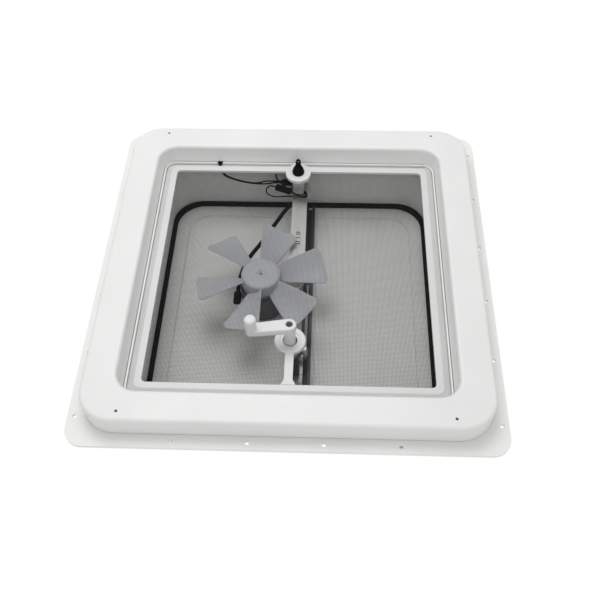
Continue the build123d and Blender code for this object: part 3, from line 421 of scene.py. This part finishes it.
def add_blade(builder, centre, reach, height, turn):
    """One blade: twisted and cambered, with a thin edge and rounded tip corners."""
    spoke = Vector((math.cos(turn), math.sin(turn), 0))
    across = Vector((-math.sin(turn), math.cos(turn), 0))
    root_r = HUB_R - 1.5 * MM
    grid = []
    for step in range(BLADE_STEPS + 1):
        out = step / BLADE_STEPS
        radius = root_r + (reach - root_r) * out
        chord = (20 + 27 * out**0.85) * MM
        pitch = math.radians(38 - 21 * out**0.7)
        row = []
        for slice_ in range(CHORD_STEPS + 1):
            side = slice_ / CHORD_STEPS - 0.5
            corner = max(0.0, abs(side) - 0.36) / 0.14
            pulled = radius - 4.5 * MM * out**6 * corner**2
            offset = across * math.cos(pitch) + Vector((0, 0, math.sin(pitch)))
            camber = Vector((0, 0, 1)) * (0.25 - side**2) * 4 * 2.6 * MM * (0.4 + 0.6 * out)
            row.append(centre + spoke * pulled + offset * side * chord + camber + Vector((0, 0, height)))
        grid.append(row)
    faces = []
    for lift in (-BLADE_HALF_T, BLADE_HALF_T):
        sheet = [[builder.verts.new(point + Vector((0, 0, lift))) for point in row] for row in grid]
        faces.append(sheet)
        join_rings(builder, sheet, closed=False)
    rims = []
    for sheet in faces:
        rims.append(
            sheet[0] + [row[-1] for row in sheet[1:]] + sheet[-1][-2::-1] + [row[0] for row in sheet[-2:0:-1]]
        )
    join_rings(builder, rims)


def edge_soften(piece, width):
    """Rounds the hard edges of a piece a little."""
    bevel = piece.modifiers.new("bevel", "BEVEL")
    bevel.width = width
    bevel.segments = 2
    bevel.limit_method = "ANGLE"
    bevel.angle_limit = math.radians(40)
    bevel.harden_normals = False


# ------------------------------------------------------------- switch boot
BOOT_PROFILE = (
    (7.5, 0.0), (7.6, 1.5), (7.1, 2.4), (7.2, 3.0), (6.5, 4.1), (6.5, 4.7), (5.5, 5.9), (5.4, 6.5), (4.2, 7.9),
    (3.6, 9.3), (3.3, 11.4), (3.35, 13.6), (3.2, 15.0), (2.5, 16.0), (1.2, 16.5),
)


BOOT_LEAN = math.radians(12)
BOOT_PIVOT_Z = -4 * MM
BOOT_SEAT = 0.9 * MM      # how far the boot comes down over its nut
BOOT_WALL = 0.7 * MM
BOOT_SEGMENTS = 40


def add_switch_boot():
    """A ribbed rubber boot, screwed down over the switch's nut and leaning with its lever."""
    low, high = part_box("switch_nut")
    x, y = (low[0] + high[0]) / 2, (low[1] + high[1]) / 2
    base_z = high[2] - BOOT_SEAT
    builder = bmesh.new()
    rings = []
    for radius, height in BOOT_PROFILE:
        follow = min(1.0, height / 9.0)
        z = base_z - height * MM
        axis_y = y - follow * (BOOT_PIVOT_Z - z) * math.tan(BOOT_LEAN)
        ring = []
        for step in range(BOOT_SEGMENTS):
            turn = 2 * math.pi * step / BOOT_SEGMENTS
            out_y = radius * MM * math.sin(turn)
            ring.append(builder.verts.new((
                x + radius * MM * math.cos(turn),
                axis_y + out_y,
                z + follow * out_y * math.tan(BOOT_LEAN),
            )))
        rings.append(ring)
    join_rings(builder, rings)
    builder.faces.new(rings[-1])
    bmesh.ops.recalc_face_normals(builder, faces=builder.faces)
    piece = add_piece("switch_rubber_boot", builder, "black_rubber", None)
    wall = piece.modifiers.new("wall", "SOLIDIFY")
    wall.thickness = BOOT_WALL
    wall.offset = -1
    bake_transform(piece)
    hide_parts("switch_boot")


# -------------------------------------------------------------- strap marks
MARK_LENGTHS = (5.5, 5.5, 0, 5.5, 0, 5.5, 5.5)   # millimetres, with 0 for a space
MARK_STEP = 3.1 * MM
MARK_START_Y = -0.082
MARK_WIDTH, MARK_T = 1.3 * MM, 0.06 * MM


def add_strap_marks():
    """A short row of plain printed dashes on the strap, where it would carry its rating."""
    low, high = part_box("fan_bracket")
    builder = bmesh.new()
    x_mid = high[0] - 9.6 * MM
    face_z = low[2] - 0.04 * MM
    y = MARK_START_Y
    for length in MARK_LENGTHS:
        if length:
            matrix = Matrix.Translation((x_mid, y, face_z)) @ Matrix.Diagonal(
                (length * MM, MARK_WIDTH, MARK_T, 1)
            )
            bmesh.ops.create_cube(builder, size=1, matrix=matrix)
        y += MARK_STEP
    add_piece("strap_marks", builder, "black_rubber", "vent_base", smooth=False)


MATERIALS = make_materials()
add_camera()
add_stage()
paint_cad_nodes(MATERIALS)
add_insect_screen()
add_fan()
add_switch_boot()
add_strap_marks()
